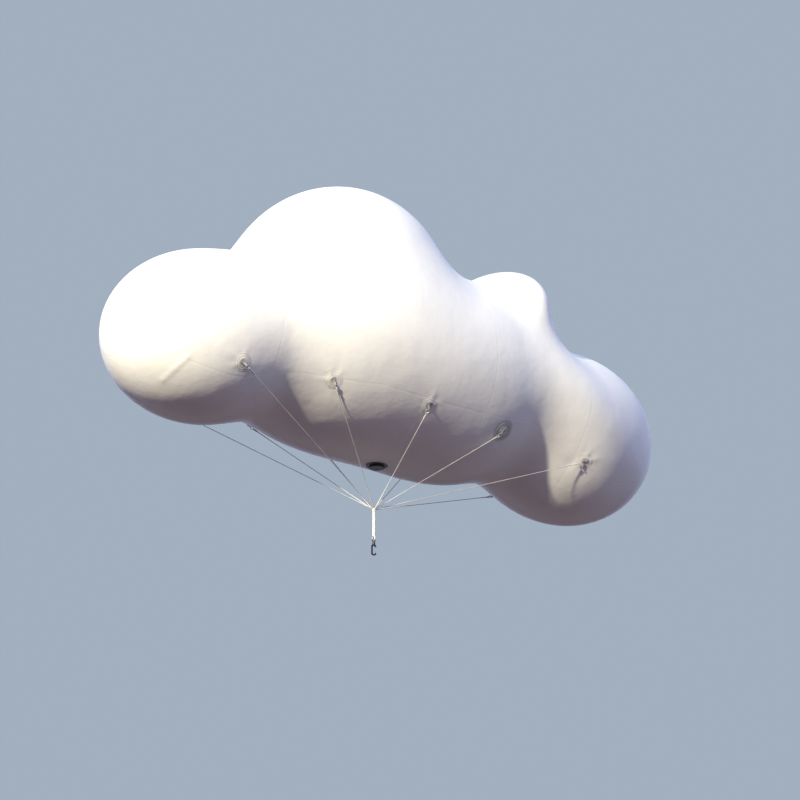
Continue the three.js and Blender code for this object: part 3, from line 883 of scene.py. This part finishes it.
def rope_fibre(name, dusty, clean):
    material, tree, place = bare_material(name, Roughness=0.75, Sheen_Weight=0.4)
    weathered = ramp(tree, noise(tree, place, 14.0, 6.0), [(0.3, dusty), (0.7, clean)])
    # Painted highlight: the lowest stretch of each line is mixed towards white.
    inputs = {"Fac": carried(tree, "painted_highlight"), "Color1": weathered, "Color2": (*CLEAN_AND_PAINTED_LIGHT_ROPE, 1)}
    colour = node(tree, "MixRGB", inputs).outputs["Color"]
    return finished(material, colour, bump(tree, noise(tree, place, 900.0, 3.0), 0.0003))


def rope_section(radius=ROPE_RADIUS):
    """Three strands side by side: four points to a strand."""
    shares = np.array([0.76, 0.93, 1.0, 0.93] * 3)
    return circle(radius, len(shares)) * shares[:, None]


line_rope = rope_fibre("weathered polyester rope", (0.40, 0.395, 0.38), (0.54, 0.54, 0.53))
bunch_rope = rope_fibre("clean polyester rope", (0.74, 0.735, 0.72), CLEAN_AND_PAINTED_LIGHT_ROPE)

# %% [markdown]
# ## Bridle lines
# A line starts in an eye round the ring. Its end is laid back along the line and bound with twine,
# and a tapered splice makes the first stretch thicker. From there it runs straight to the gathering
# point, because it is taut. Its lower end is spliced as well, and its last stretch is painted
# whiter, a painted highlight, so the lines look like one pale arm where they come together.

# %% Bridle lines
LOOP_RADIUS = 0.012
LOOP_BACK = RING_WIRE + ROPE_RADIUS + 0.0006
BIND_START, BIND_LENGTH, BIND_RADII = 0.020, 0.040, (0.0059, 0.0054)
TUCKED_END = [(0.046, 0.0027), (0.030, 0.0030), (0.018, 0.0042)]  # ahead and aside of its middle
LIVE_END = [(0.018, -0.0042), (0.030, -0.0030), (0.046, -0.0023), (0.075, 0.0), (0.110, 0.0)]
SPLICE_START, SPLICE_TAPER = 0.045, 0.060  # ahead of the eye's middle
SPLICE_RISE = 0.020  # the splice grows to its full thickness over this length
SPLICE_LENGTH, SPLICE_THICK = 0.24, 0.55
LOW_SPLICE_LENGTH, LOW_SPLICE_THICK, LOW_SPLICE_HOLD = 0.34, 0.50, 1.3
PAINTED_HIGHLIGHT_LENGTH, PAINTED_HIGHLIGHT_HOLD = 0.45, 1.4  # the painted highlight on the lowest stretch, above the bunch
ROPE_STEP = ROPE_LAY / 11
NEARLY_NOTHING = 0.0005  # radius where a turned shape closes on its axis


def line_path(seat):
    """The middle of the splice eye, and the path round it and down to the gathering point."""
    bow = seat["eye"] + seat["pull"] * 2 * RING_RADIUS
    centre = bow + seat["pull"] * (LOOP_RADIUS - LOOP_BACK)
    flat = np.cross(seat["pull"], seat["wide"])
    turn = np.radians(np.linspace(48, 312, 12))
    loop = [(LOOP_RADIUS * math.cos(a), LOOP_RADIUS * math.sin(a)) for a in turn]
    side_view = TUCKED_END + loop + LIVE_END
    eye = smooth_path([centre + seat["pull"] * a + flat * b for a, b in side_view], ROPE_STEP)
    steps = int(np.linalg.norm(seat["end"] - eye[-1]) / ROPE_STEP)
    return centre, np.concatenate([eye, np.linspace(eye[-1], seat["end"], steps + 1)[1:]])


def splice_scale(ahead, left):
    """How thick the rope is, from the length ahead of the eye's middle and the length left."""
    high = np.clip(1 - (ahead - SPLICE_TAPER) / SPLICE_LENGTH, 0, 1)
    high *= np.clip((ahead - SPLICE_START) / SPLICE_RISE, 0, 1)
    low = np.clip(LOW_SPLICE_HOLD * (1 - left / LOW_SPLICE_LENGTH), 0, 1)
    low *= np.clip(left / SPLICE_RISE, 0, 1)
    return 1 + SPLICE_THICK * high + LOW_SPLICE_THICK * low


def binding(start, axis, radii, length, twine=0.0012):
    """Twine wound in close turns over a core that runs from one radius to another."""
    turns = round(length / (2 * twine))
    profile = [(NEARLY_NOTHING, 0.0)]
    for i in range(turns):
        core = radii[0] + (radii[1] - radii[0]) * i / max(turns - 1, 1)
        for height, rise in ((0.1, 0.35), (0.5, 1.0), (0.9, 0.35)):
            profile.append((core + twine * rise, (i + height) * 2 * twine))
    profile.append((NEARLY_NOTHING, length))
    return turned(profile, start, axis, 20)


bindings = []
for seat in seats:
    centre, path = line_path(seat)
    ahead, left = (path - centre) @ seat["pull"], (path[-1] - path) @ seat["pull"]
    shape = swept(path, rope_section(), splice_scale(ahead, left), ROPE_TWIST)
    line = new_piece(f"line_{seat['label']}", *shape, line_rope, "envelope", 80)
    # Painted highlight along the lowest stretch of the line, full at the bottom and fading upwards.
    painted_highlight = np.clip(PAINTED_HIGHLIGHT_HOLD * (1 - left / PAINTED_HIGHLIGHT_LENGTH), 0, 1)
    carry(line, "painted_highlight", np.repeat(painted_highlight, len(rope_section())))
    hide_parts(f"bridle_line_{seat['label']}")
    start = centre + seat["pull"] * BIND_START
    bindings.append(binding(start, seat["pull"], BIND_RADII, BIND_LENGTH))
line_bindings = new_piece("line_bindings", *gathered(bindings), line_rope, "envelope")
print("bridle lines", len(seats), "and one has", len(line.data.polygons), "faces")

# %% [markdown]
# ## The bunch
# Under the belly the ten lines bend down together and are bound into one short thick bunch. Each
# line goes on as a cord of the bunch, squeezed a little thinner, and three bindings of twine hold
# them. A loop of heavier rope comes out below to take the swivel.

# %% Bunch of line ends
BUNCH_LENGTH, BUNCH_RADIUS, BUNCH_TURNS = 0.265, 0.0101, 0.35
BUNCH_NECK = [(0.014, 0.0145), (0.030, 0.0112), (0.045, BUNCH_RADIUS)]  # depth, radius
CORD_OVERLAP, CORD_SHORT = 0.004, 0.007  # up into its line, and short of the bunch's length
BUNCH_TWINE = 0.0011
TWINES = [  # from the gathering point down: start, length, radius at the start and at the end
    (-0.004, 0.034, (0.0203, 0.0150)),
    (0.118, 0.030, (0.0133, 0.0133)),
    (0.213, 0.052, (0.0133, 0.0130)),
]


def bunch_cord(seat):
    azimuth = math.atan2(seat["end"][1], seat["end"][0] - GATHER[0])
    places = [(azimuth, depth, radius) for depth, radius in BUNCH_NECK]
    neck = BUNCH_NECK[-1][0]
    for share in np.linspace(0.1, 1.0, 10):
        turn = azimuth + 2 * math.pi * BUNCH_TURNS * share
        depth = neck + (BUNCH_LENGTH - CORD_SHORT - neck) * share
        places.append((turn, depth, BUNCH_RADIUS))
    path = [seat["end"] - seat["pull"] * CORD_OVERLAP, seat["end"]]
    for turn, depth, radius in places:
        path.append(GATHER + [radius * math.cos(turn), radius * math.sin(turn), -depth])
    path = smooth_path(path, ROPE_STEP)
    scale = np.interp(GATHER[2] - path[:, 2], [0, 0.04], [1.0, 1.05])
    return swept(path, rope_section(), scale, ROPE_TWIST)


cords = gathered([bunch_cord(seat) for seat in seats])
bunch = new_piece("bunch_cords", *cords, bunch_rope, "envelope", 80)
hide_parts("bridle_bunch")
twines = []
for start, length, radii in TWINES:
    twines.append(binding(GATHER - start * Z, -Z, radii, length, BUNCH_TWINE))
bunch_bindings = new_piece("bunch_bindings", *gathered(twines), bunch_rope, "envelope")

# %% Rope eye under the bunch
EYE_RADIUS, EYE_ROPE, EYE_LAP = 0.017, 0.0055, 0.004
EYE_STEPS, EYE_LAYS = 96, 3  # points round the eye, and full turns of the strands
eye_middle = GATHER - (BUNCH_LENGTH + EYE_RADIUS - EYE_LAP) * Z
eye_path = eye_middle + circle(EYE_RADIUS, EYE_STEPS, Y, Z)
eye_shape = swept(eye_path, rope_section(EYE_ROPE), 1.0, EYE_LAYS / EYE_RADIUS, closed=True)
rope_eye = new_piece("rope_eye", *eye_shape, bunch_rope, "envelope", 80)

# %% [markdown]
# ## Swivel and hook
# The hardware is forged and machined, and its shapes are already exact in the frame. What a plain
# solid lacks is the rounded edge that every forging has. So each piece is a copy of its solid with
# the flat faces joined up and the edges bevelled.

# %% Rounded copies of the solids
SHARP = 35  # degrees: edges that turn by more than this are rounded


def rounded_copy(name, source, material, body, width):
    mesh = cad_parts[source].data.copy()
    shape = bmesh.new()
    shape.from_mesh(mesh)
    bmesh.ops.remove_doubles(shape, verts=shape.verts, dist=1e-6)
    flat = math.radians(1)
    bmesh.ops.dissolve_limit(shape, angle_limit=flat, verts=shape.verts, edges=shape.edges)
    shape.to_mesh(mesh)
    shape.free()
    mesh.materials.clear()
    mesh.materials.append(material)
    piece = placed(name, mesh)
    bevel = piece.modifiers.new("rounded edges", "BEVEL")
    bevel.width = width
    bevel.segments = 3
    bevel.limit_method = "ANGLE"
    bevel.angle_limit = math.radians(SHARP)
    bpy.context.view_layer.update()
    solid = piece.evaluated_get(bpy.context.evaluated_depsgraph_get())
    piece.data = bpy.data.meshes.new_from_object(solid)
    piece.modifiers.clear()
    shade_smooth(piece.data, SHARP)
    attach(piece, body)
    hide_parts(source)
    return piece


rounded_copy("swivel", "swivel_eye", black_steel, "envelope", 0.0006)
hook = rounded_copy("snap_hook", "hook_body", black_steel, "hook", 0.0022)
gate = rounded_copy("gate", "hook_gate", bright_steel, "gate", 0.0010)
print("hook faces", len(hook.data.polygons), "gate faces", len(gate.data.polygons))

# %% [markdown]
# ## Filling valve
# The valve is black moulded plastic: a broad flange welded into the skin, and a screwed cap with
# grips round its rim. The flange follows the skin's curve, so it keeps its exact solid, with
# rounded edges. The cap gets its grips and its raised middle from a profile that is spun round its
# axis, with a radius that waves round the rim.

# %% Valve
def moulded_plastic(name):
    material, tree, place = bare_material(name, Roughness=0.45)
    dust = noise(tree, place, 18.0, 7.0)
    colour = ramp(tree, dust, [(0.35, (0.012, 0.012, 0.014)), (0.75, (0.045, 0.044, 0.043))])
    return finished(material, colour, bump(tree, noise(tree, place, 500.0, 2.0), 0.0002))


plastic = moulded_plastic("black moulded plastic")
rounded_copy("valve_flange_ring", "valve_flange", plastic, "envelope", 0.0012)

cap_low, cap_high = (np.array(corner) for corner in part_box("valve_cap"))
CAP_GRIPS, GRIP_DEPTH, GRIP_SQUARENESS = 24, 0.0012, 1.6
CAP_RIM = (69, 23.5)  # mm: the grips lie outside this radius and below this height
CAP_MIDDLE = np.array([*((cap_low + cap_high) / 2)[:2], cap_low[2]])
CAP_PROFILE = [  # radius, height above the cap's underside in mm
    (0, 4.0), (20, 4.0), (24, 3.4), (27, 0.8), (30, 0.0), (66, 0.0), (69.5, 0.8), (71.6, 2.6),
    (72, 5.0), (72, 20.0), (71, 23.0), (69, 24.0), (45.4, 24.0), (45.4, 35.0), (44, 36.0),
    (0, 36.0),
]


def cap_shape():
    sides = CAP_GRIPS * 8
    around = circle(1.0, sides, X, Y)
    grip = np.clip(np.cos(full_turn(sides) * CAP_GRIPS) * GRIP_SQUARENESS, -1, 1)
    wave = GRIP_DEPTH * (grip - 1)[:, None]
    rings = []
    for radius, height in CAP_PROFILE:
        on_rim = radius > CAP_RIM[0] and height < CAP_RIM[1]
        reach = max(radius / 1000, NEARLY_NOTHING) + wave * on_rim
        rings.append(CAP_MIDDLE + around * reach + height / 1000 * Z)
    return np.concatenate(rings), capped(len(rings), sides)


cap = new_piece("valve_screw_cap", *cap_shape(), plastic, "envelope", 35)
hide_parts("valve_cap")

# %% [markdown]
# ## Floor and light
# The floor is a plain pale disc at the camera's own level, as the viewer looks up. It must not hide
# the balloon from a camera placed under it, so its back side is clear. The key light is a round
# soft box far to the left, low and warm. It skims the front, so one lobe throws its shadow on the
# next, and the lobe near it is brighter than the far one. It leaves out the floor, which would burn
# out close to it. A pale surround fills the rest, cool and bright above, dim below.

# %% Floor
FLOOR_BELOW_CAMERA = 0.05
FLOOR_RADIUS, FLOOR_SIDES = 26.0, 96


def floor_finish():
    material, tree, place = bare_material("pale floor", Roughness=0.8)
    cloud = noise(tree, place, 0.6, 5.0)
    colour = ramp(tree, cloud, [(0.3, (0.80, 0.72, 0.58)), (0.7, (0.86, 0.77, 0.61))])
    pale = tree.nodes["Principled BSDF"].outputs["BSDF"]
    back = node(tree, "NewGeometry").outputs["Backfacing"]
    clear = node(tree, "BsdfTransparent").outputs["BSDF"]
    both = node(tree, "MixShader", {0: back, 1: pale, 2: clear}).outputs["Shader"]
    tree.links.new(both, tree.nodes["Material Output"].inputs["Surface"])
    return finished(material, colour)


floor_height = camera.location.z - FLOOR_BELOW_CAMERA
floor_points = circle(FLOOR_RADIUS, FLOOR_SIDES, X, Y) + floor_height * Z
mesh = bpy.data.meshes.new("floor")
mesh.from_pydata(floor_points.tolist(), [], [list(range(FLOOR_SIDES))])
mesh.materials.append(floor_finish())
floor = placed("floor", mesh)
floor.visible_diffuse = False
print("floor at", round(floor_height, 2), "m")

# %% Light
KEY_TURN = math.radians(-63.5)  # from the front towards the left
KEY_RISE = math.radians(14.5)
KEY_DISTANCE, KEY_ACROSS, KEY_POWER = 22.0, 1.0, 9300.0
KEY_COLOUR = (1.0, 0.91, 0.66)
FILL_BELOW = (0.105, 0.066, 0.074)
FILL_ABOVE = (0.58, 0.68, 1.00)
BACKDROP = (0.36, 0.43, 0.52)


def key_light():
    data = bpy.data.lights.new("key", "AREA")
    data.shape = "DISK"
    data.size = KEY_ACROSS
    data.energy = KEY_POWER
    data.color = KEY_COLOUR
    lamp = placed("key", data)
    level = math.cos(KEY_RISE)
    towards = Vector((math.sin(KEY_TURN) * level, -math.cos(KEY_TURN) * level, math.sin(KEY_RISE)))
    lamp.location = towards * KEY_DISTANCE
    lamp.rotation_euler = towards.to_track_quat("Z", "Y").to_euler()
    lamp.visible_camera = False
    unlit = bpy.data.collections.new("left out of the key light")
    unlit.objects.link(floor)
    unlit.collection_objects[0].light_linking.link_state = "EXCLUDE"
    lamp.light_linking.receiver_collection = unlit


def surround():
    world = bpy.data.worlds.new("surround")
    world.use_nodes = True
    tree = world.node_tree
    direction = node(tree, "TexCoord").outputs["Generated"]
    height = node(tree, "SeparateXYZ", {0: direction}).outputs["Z"]
    share = stretched(tree, height, -1.0, 1.0)
    stops = [(0.0, FILL_BELOW), (0.47, FILL_BELOW), (0.53, FILL_ABOVE), (1.0, FILL_ABOVE)]
    lit = tree.nodes["Background"]
    tree.links.new(ramp(tree, share, stops), lit.inputs["Color"])
    backdrop = node(tree, "Background", {"Color": (*BACKDROP, 1)}).outputs["Background"]
    seen = node(tree, "LightPath").outputs["Is Camera Ray"]
    both = node(tree, "MixShader", {0: seen, 1: lit.outputs["Background"], 2: backdrop})
    tree.links.new(both.outputs["Shader"], tree.nodes["World Output"].inputs["Surface"])
    bpy.context.scene.world = world


key_light()
surround()
bpy.context.scene.view_settings.view_transform = "Standard"
